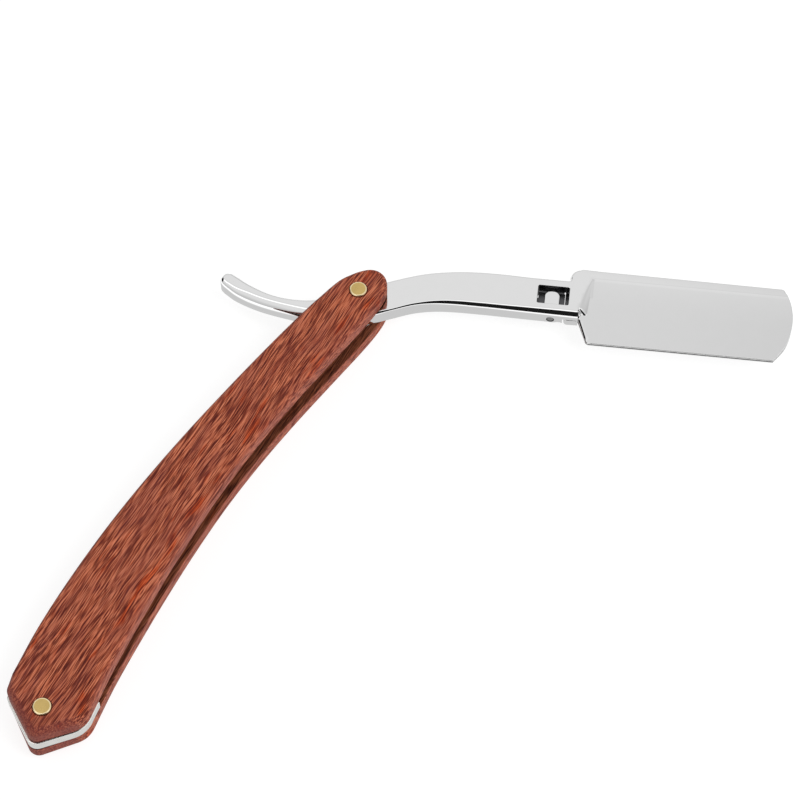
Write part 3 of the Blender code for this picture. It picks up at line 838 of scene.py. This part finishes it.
holderSize = {
    "edgeY": -4.85, "spineY": 13.45, "faceAtEdge": 0.5, "faceAtSpine": 2.32, "hollow": 0.5,
    "bevelY": 14.65, "bevelTop": 16.15, "bevelDrop": 0.16, "bevelFrom": 55.5, "bevelRun": 4.0,
    "heel": [(54.9, 1.85, 0.4), (57.4, -4.85, 0.9)],
    "toeEdge": [(103.9, -4.85), (106.5, -0.85), (107.8, 3.25), (108.2, 7.25), (107.6, 11.25),
                (106.1, 14.9)],
    "spine": [(105.6, 15.8, 0.9), (52.05, 16.15, 2.9)],
    "rampLowY": 2.95, "rampTop": (1.75, 1.2, 54.75), "rampFoot": (0.9, 57.0), "rampPower": 1.7,
    "rampRound": 1.1, "stepWidth": 0.6, "hookX": 55.0, "hookY": 3.4, "hookSlope": 0.51,
    "heelBevel": 0.65, "heelDrop": 0.3, "heelPower": 1.3, "heelTop": 1.95, "heelEnd": 57.9,
    # next line: the first two numbers bound the painted dark reflection on the heel's side wall
    "paintedHeelTop": 1.8, "paintedHeelEnd": 57.6, "plateStart": 54.86, "spineStart": 14.2,
    "crownStart": -4.0, "crownRun": 6.0, "crown": 0.30,
    "clampRoot": [(52.05, 12.3, 0.3), (51.3, 11.4, 0.9), (51.3, 1.75, 0.9)],
    "clampRivet": (58.6, 10.9), "pegs": (66.0, 3.7), "pegStep": 15.5,
}
windowSize = {"x0": 44.3, "x1": 52.2, "y0": 4.75, "y1": 10.05, "corner": 0.35, "rim": 0.12}


def holderEnd():
    toe = smoothThrough(holderSize["toeEdge"], 10)
    return holderSize["heel"] + toe + holderSize["spine"]


def armLoop():
    size = armSize
    low = smoothThrough(size["lowEdge"], 10)
    top = smoothThrough(size["topEdge"], 10)
    tip = smoothThrough(size["tailTip"], 8)
    return splitLong(closedLoop(low + holderEnd() + [size["shoulder"]] + top + tip[1:-1]), 0.8)


def clampLoop():
    return splitLong(closedLoop(holderEnd() + holderSize["clampRoot"]), 0.8)


def faceHeight(y):
    size = holderSize
    along = (y - size["edgeY"]) / (size["spineY"] - size["edgeY"])
    slope = (size["faceAtSpine"] - size["faceAtEdge"]) * along
    return size["faceAtEdge"] + slope - size["hollow"] * along * (1 - along)


def rampEdges(y):
    # the ramp's upper and lower edges lean towards the toe as they rise
    size = holderSize
    t = np.clip((y - size["rampLowY"]) / (size["spineY"] - size["rampLowY"]), 0, 1)
    return np.polyval(size["rampTop"], t), np.polyval(size["rampFoot"], t)


def heelDistance(spots):
    (x0, y0, _), (x1, y1, _) = holderSize["heel"]
    length = ((x1 - x0) ** 2 + (y1 - y0) ** 2) ** 0.5
    return ((spots[:, 0] - x0) * (y0 - y1) + (spots[:, 1] - y0) * (x1 - x0)) / length


def holderTop(spots):
    size = holderSize
    x, y = spots[:, 0], spots[:, 1]
    half = armSize["half"]
    face = faceHeight(np.clip(y, size["edgeY"] - 1, size["spineY"]))
    start, foot = rampEdges(y)
    ramp = half + (face - half) * np.clip((x - start) / (foot - start), 0, 1) ** size["rampPower"]
    onPlate = x > size["plateStart"]
    low = size["hookY"] - size["hookSlope"] * (x - size["hookX"])
    rounding = size["rampRound"]        # the ramp's lower end rolls over onto the face
    reach = np.clip(y - low, 0, rounding)
    drop = rounding - np.sqrt(rounding ** 2 - (rounding - reach) ** 2)
    ramp = np.where(onPlate & (y < low + rounding), np.maximum(face, ramp - drop), ramp)
    ramp = np.where(onPlate & (y < low), face, ramp)
    inside = np.clip(1 - heelDistance(spots) / size["heelBevel"], 0, 1) ** size["heelPower"]
    ramp = ramp - np.where(onPlate & (y < size["heelTop"]), size["heelDrop"] * inside, 0)
    bevel = np.clip((y - size["bevelY"]) / (size["bevelTop"] - size["bevelY"]), 0, 1) ** 2
    bevel = bevel * size["bevelDrop"] * np.clip((x - size["bevelFrom"]) / size["bevelRun"], 0, 1)
    step = np.clip((y - size["spineY"]) / size["stepWidth"] + 0.5, 0, 1)
    step = step * step * (3 - 2 * step)
    return ramp + (half - bevel - ramp) * step - tailCrown(spots)


def acrossArm(spots):
    # -1 on the arm's lower edge, 1 on its upper edge
    x, y = spots[:, 0], spots[:, 1]
    near = np.interp(x, *zip(*smoothThrough(armSize["lowEdge"], 4)))
    far = np.interp(x, *zip(*smoothThrough(armSize["topEdge"], 4)[::-1]))
    return np.clip((2 * y - near - far) / np.maximum(far - near, 1.0), -1.1, 1.1)


def tailCrown(spots):
    # the tail is domed across its width
    size = holderSize
    beyond = np.clip((size["crownStart"] - spots[:, 0]) / size["crownRun"], 0, 1)
    return size["crown"] * acrossArm(spots) ** 2 * beyond


def armRound(loop):
    x, y = loop.T
    size, holder = armSize, holderSize
    radius = np.interp(x, *zip(*size["lowRounds"]))
    radius += (size["edgeRound"] - radius) * np.clip(acrossArm(loop) / 1.2 + 0.5, 0, 1)
    onPlate = x > holder["plateStart"]
    heel = onPlate & (x < holder["heelEnd"]) & (y < holder["heelTop"])
    radius = np.where(onPlate, size["plateRound"], radius)
    radius = np.where(heel, size["heelRound"], radius)
    return np.where(onPlate & (y >= holder["spineStart"]), size["spineRound"], radius)


def holderLines():
    # lines that the faces' triangles keep to, where the holder's shape turns
    size = holderSize
    lines = []
    heights = np.arange(3.1, size["spineY"] - 0.35, 0.35)
    for share in (0.0, 0.15, 0.3, 0.5, 0.7, 0.86, 1.0):
        start, foot = rampEdges(heights)
        lines.append(np.stack([start + (foot - start) * share, heights], 1))
    across = np.arange(58.4, 107.2, 0.6)
    for y in (-0.25, -0.12, 0.0, 0.12, 0.25, size["bevelY"] - size["spineY"]):
        lines.append(np.stack([across, np.full(len(across), y + size["spineY"])], 1))
    across = np.arange(55.0, 57.35, 0.14)
    for y in (-0.03, 0.03, 0.1, 0.2, 0.35, 0.55, 0.8, 1.05):
        hook = size["hookY"] + y - size["hookSlope"] * (across - size["hookX"])
        lines.append(np.stack([across, hook], 1))
    heel = [np.array(p[:2]) for p in size["heel"]]
    along = (heel[1] - heel[0]) / np.linalg.norm(heel[1] - heel[0])
    for inward in (0.2, 0.4, size["heelBevel"]):
        start = heel[0] + np.array([-along[1], along[0]]) * inward
        lines.append(np.array([start + along * t for t in np.arange(0.5, 5.8, 0.4)]))
    return lines


# painted dark reflection: the heel's side wall, where the mirror shows a dark line
def heelSide(loop):
    size = holderSize
    x, y = loop.T
    return (x > size["plateStart"]) & (x < size["paintedHeelEnd"]) & (y < size["paintedHeelTop"])


backSize = {        # what is cut into the arm from behind
    "valley": (50.1, -2.9, 1.45), "pinHole": (48.0, -0.6, 1.0),
    "pocket": (36.4, 44.6, 5.55, 9.25, 0.8), "pocketTop": -1.35,
    "screw": (38.4, 7.4), "screwHole": 0.7, "screwHoleTop": 0.6,
    "rivetHole": 1.1, "rivetHoleTop": 1.15, "pegHole": 0.9, "pegHoleTop": 0.55,
    "clear": (113.0, -9.0, 19.0, -6.0),     # x, two ys and z beyond the arm
}


def armPiece():
    size, back, window = armSize, backSize, windowSize
    opening = roundedBox(window["x0"], window["x1"], window["y0"], window["y1"], window["corner"])
    # the window's walls take the second, near-black finish: painted shade inside the window
    holes = [(opening, window["rim"]), (circleLoop(0, 0, scaleSize["rivetHole"]), 0.1)]
    # the heel's side wall gets a painted dark reflection
    bm = plateMesh(armLoop(), holderTop, -size["half"], armRound, size["backRound"], 0.8, holes,
                   topLines=holderLines(), steps=8, holeIndex=1, paintedDarkSide=heelSide)
    mesh = toMesh("armBody", bm, finishes=[chrome, shadeFill])
    screwHole = circleLoop(*back["screw"], back["screwHole"], 32)
    rivetHole = circleLoop(*holderSize["clampRivet"], back["rivetHole"], 32)
    cutters = [
        toMesh("side", boxMesh(size["clampCut"], *back["clear"], size["seat"]), 0),
        toMesh("bladeRoom", boxMesh(size["rootEnd"], *back["clear"], size["plateGap"]), 0),
        toMesh("valley", rodAcross(*back["valley"]), 0),
        # the pocket, holes and peg holes cut below are lined with the near-black finish: painted shade
        toMesh("pocket", prismMesh(roundedBox(*back["pocket"]), back["clear"][-1], back["pocketTop"]), 1),
        toMesh("screwHole", prismMesh(screwHole, -1.6, back["screwHoleTop"]), 1),
        toMesh("pinHole", rodAcross(*back["pinHole"]), 1),
        toMesh("rivetHole", prismMesh(rivetHole, -1.0, back["rivetHoleTop"]), 1),
    ]
    x, y = holderSize["pegs"]
    for i in range(3):
        pegHole = circleLoop(x + holderSize["pegStep"] * i, y, back["pegHole"], 24)
        cutters.append(toMesh("pegHole", prismMesh(pegHole, -1.0, back["pegHoleTop"]), 1))
    finishPiece("armBody", carve(mesh, cutters), armFrame, "arm", ["blade_arm"])


armPiece()


clampSize = {
    "innerRound": 0.05, "rootRound": 0.4, "latchSeat": (50.0, 52.7, 4.9, 9.9, -0.7, 1.0),
    "rivetSeat": [(2.0, -4.0), (2.0, -1.45), (1.1, -1.45), (1.1, 1.0)],     # radius and height
}


def clampPiece():
    size = clampSize

    def outerFace(spots):
        return -holderTop(spots)

    def outerRound(loop):
        return np.where(loop[:, 0] < holderSize["plateStart"], size["rootRound"], armRound(loop))

    # the heel's side wall gets a painted dark reflection
    bm = plateMesh(clampLoop(), -armSize["plateGap"], outerFace, size["innerRound"], outerRound, 0.8,
                   bottomLines=holderLines(), steps=8, paintedDarkSide=heelSide)
    mesh = toMesh("clampBody", bm, finishes=[chrome, shadeFill])
    # the rivet and latch seats are lined with painted shade
    mesh = carve(mesh, [toMesh("rivetSeat", turnedMesh(size["rivetSeat"], *holderSize["clampRivet"]), 1),
                        toMesh("latchSeat", boxMesh(*size["latchSeat"]), 1)])
    finishPiece("clampBody", mesh, armFrame, "clamp", ["clamp_plate"])


clampPiece()


# Latch, pin, spring and small fittings
latchSize = {
    "x": 48.0, "z": -0.6, "pin": 0.9, "halfWidth": 1.95, "y0": 5.05, "y1": 9.6, "endRound": 1.75,
    "top": 1.1, "bottom": -2.1, "edgeRound": 0.3, "flange": (44.5, 51.2, 5.05, 9.65, -0.95, -0.25),
    "bore": 1.0,
}


def knucklePiece():
    size = latchSize
    x0, x1 = size["x"] - size["halfWidth"], size["x"] + size["halfWidth"]
    plan = closedLoop([(x0, size["y0"], 0.2), (x1, size["y0"], 0.2), (x1, size["y1"], size["endRound"]),
                       (x0, size["y1"], size["endRound"])])
    bm = plateMesh(splitLong(plan, 0.4), size["top"], size["bottom"], size["edgeRound"], size["edgeRound"],
                   0.5, steps=5)
    mesh = toMesh("latchKnuckle", bm, finishes=[chrome, shadeFill])
    # painted shade: a near-black flange below the knuckle darkens the window
    mesh = carve(mesh, [toMesh("flange", boxMesh(*size["flange"]), 1)], "UNION")
    mesh = carve(mesh, [toMesh("bore", rodAcross(size["x"], size["z"], size["bore"]))])
    finishPiece("latchKnuckle", mesh, armFrame, "latch", ["latch_knuckle"])


knucklePiece()


fittingSize = {     # each profile is radius and height up the axis, in millimetres
    "pinEnds": (2.0, 12.35), "pinEnd": [(0.2, 0.0), (0.08, 0.05), (0.0, 0.2)],
    "peg": [(0.8, 0.0), (0.8, 0.38), (0.74, 0.47), (0.6, 0.5)], "pegFoot": -0.05,
    "rivet": [(1.3, -2.3), (1.6, -2.27), (1.78, -2.15), (1.85, -1.95), (1.85, -1.56), (1.0, -1.55),
              (1.0, 1.0)],
    "screw": [(0.85, -2.25), (1.02, -2.2), (1.1, -2.08), (1.1, -1.95), (0.55, -1.94), (0.55, 0.5)],
    "screwSlot": (37.0, 39.8, 7.25, 7.55, -4.0, -2.08),
    "leaf": (36.9, 45.7, 6.05, 8.75, 0.5), "leafTop": -1.5, "leafBottom": -1.85, "leafRound": 0.06,
}


def smallParts():
    size, latch, screwPlace = fittingSize, latchSize, backSize["screw"]
    low, high = size["pinEnds"]
    pin = [(latch["pin"] - inward, up) for inward, up in size["pinEnd"]]
    pin += [(radius, high - low - up) for radius, up in pin[::-1]]
    turnedRow("latchPin", pin, armFrame, "arm", ["latch_pin"], springSteel,
              first=(latch["x"], low, latch["z"]), turn=(-pi / 2, 0, 0))
    turnedRow("bladePegs", size["peg"], armFrame, "arm",
              ["blade_peg_1", "blade_peg_2", "blade_peg_3"], chrome, 3,
              (*holderSize["pegs"], size["pegFoot"]), (holderSize["pegStep"], 0, 0))
    turnedRow("clampRivet", size["rivet"], armFrame, "arm", ["clamp_rivet"], armSteel,
              first=(*holderSize["clampRivet"], 0))
    turnedRow("springScrew", size["screw"], armFrame, "arm", ["spring_screw"], armSteel,
              first=(*screwPlace, 0), cutters=[toMesh("slotCut", boxMesh(*size["screwSlot"]))])
    hole = circleLoop(*screwPlace, backSize["screwHole"], 32)
    bm = plateMesh(splitLong(roundedBox(*size["leaf"]), 0.5), size["leafTop"], size["leafBottom"],
                   size["leafRound"], size["leafRound"], 0.7, [(hole, 0.03)], steps=2)
    mesh = toMesh("latchSpring", bm, finishes=[springSteel])
    finishPiece("latchSpring", mesh, armFrame, "arm", ["latch_spring"])


smallParts()
print("pieces made")


# Floor, light and camera
studio = {
    "camera": (0.010356, -0.391971, 0.583), "tilt": 32.0, "lens": 126.0,       # metres from the pivot
    "skyDiffuse": 0.55, "low": 0.60, "rise": 0.24,
    "strip": 0.6, "dim": 0.09, "drift": 0.13, "dark": 0.985, "darkLeft": (-0.86, 0.31, 0.40),
    "key": {"place": (0.55, -0.35, 0.9), "size": 0.7, "power": 5.0},
    "fill": {"place": (-0.6, 0.5, 0.9), "size": 0.8, "power": 1.5},
    "floor": 0.30, "floorGlow": 0.80, "floorMirror": 0.66, "floorGrazing": 0.6,
}


def lightRoom():
    # the polished steel mirrors a bright room with a strip light, a dim band and dark patches
    world = bpy.data.worlds.new("studio")
    bpy.context.scene.world = world
    world.use_nodes = True
    tree = world.node_tree
    tree.nodes.clear()
    spot = addNode(tree, "ShaderNodeTexCoord").outputs["Generated"]
    x, y, z = addNode(tree, "ShaderNodeSeparateXYZ", {0: spot}).outputs

    def times(a, b):
        return calc(tree, "MULTIPLY", a, b)

    def without(mask, amount):
        return calc(tree, "SUBTRACT", 1.0, times(mask, amount))

    height = calc(tree, "ADD", times(between(tree, z, 0.1, 0.75), studio["rise"]), studio["low"])
    strip = times(between(tree, y, 0.25, 0.20), between(tree, y, -0.07, -0.02))
    strip = times(strip, between(tree, z, 0.6, 0.9))
    dim = times(between(tree, y, 0.52, 0.43), between(tree, y, 0.30, 0.38))
    glow = calc(tree, "ADD", times(strip, studio["strip"]), 1.0)
    glow = calc(tree, "SUBTRACT", glow, times(dim, studio["dim"]))
    side = calc(tree, "DIVIDE", x, calc(tree, "MAXIMUM", times(y, -1.0), 0.001))
    front = times(between(tree, side, -0.48, -0.25), between(tree, side, 1.4, 0.9))
    front = times(front, between(tree, y, -0.05, -0.10))
    toLeft = addNode(tree, "ShaderNodeVectorMath", {0: spot, 1: studio["darkLeft"]},
                     operation="DOT_PRODUCT")
    dark = calc(tree, "MAXIMUM", front, between(tree, toLeft.outputs["Value"], 0.87, 0.91))
    lit = times(times(height, glow), without(dark, studio["dark"]))
    lit = times(lit, without(between(tree, x, 0.05, 0.20), studio["drift"]))
    mirror, sky, white = (addNode(tree, "ShaderNodeBackground", {"Strength": strength, "Color": (1, 1, 1, 1)})
                          for strength in (lit, studio["skyDiffuse"], 1.0))
    soft = byRay(tree, "Is Glossy Ray", sky.outputs[0], mirror.outputs[0])
    whole = byRay(tree, "Is Camera Ray", soft, white.outputs[0])
    addNode(tree, "ShaderNodeOutputWorld", {"Surface": whole})


def addLamp(name):
    look = studio[name]
    data = bpy.data.lights.new(name, "AREA")
    data.shape = "DISK"
    data.size = look["size"]
    data.energy = look["power"]
    lamp = addObject(name, data)
    lamp.location = look["place"]
    lamp.rotation_euler = (-Vector(look["place"])).to_track_quat("-Z", "Y").to_euler()
    lamp.visible_glossy = False


def makeFloor():
    bm = bmesh.new()
    bm.faces.new([bm.verts.new(p) for p in ((-3, -3, 0), (3, -3, 0), (3, 3, 0), (-3, 3, 0))])
    made, tree, shader = newMaterial("paleFloor")
    shader.inputs["Base Color"].default_value = (*[studio["floor"]] * 3, 1)
    shader.inputs["Roughness"].default_value = 0.9
    shader.inputs["Specular IOR Level"].default_value = 0.1
    shown = addNode(tree, "ShaderNodeEmission", {"Color": (1, 1, 1, 1), "Strength": studio["floorGlow"]})
    both = addNode(tree, "ShaderNodeAddShader", {0: shader.outputs[0], 1: shown.outputs[0]})
    grazing = addNode(tree, "ShaderNodeLayerWeight", {"Blend": 0.5}).outputs["Facing"]
    bright = calc(tree, "MULTIPLY", between(tree, grazing, 0.35, 0.70), studio["floorGrazing"])
    bright = calc(tree, "ADD", bright, studio["floorMirror"])
    mirrored = addNode(tree, "ShaderNodeEmission", {"Color": (1, 1, 1, 1), "Strength": bright})
    mixed = byRay(tree, "Is Glossy Ray", both.outputs[0], mirrored.outputs[0])
    tree.links.new(mixed, tree.nodes["Material Output"].inputs["Surface"])
    addObject("floor", toMesh("floor", bm, finishes=[made]))


lightRoom()
makeFloor()
addLamp("key")
addLamp("fill")

cameraData = bpy.data.cameras.new("camera")
cameraData.lens = studio["lens"]
cameraData.sensor_width = 36.0
cameraData.clip_start = 0.01
camera = addObject("camera", cameraData)
camera.location = pivot + Vector(studio["camera"])
camera.rotation_euler = (radians(studio["tilt"]), 0, 0)
bpy.context.scene.camera = camera
bpy.context.scene.view_settings.view_transform = "Standard"

print("done")
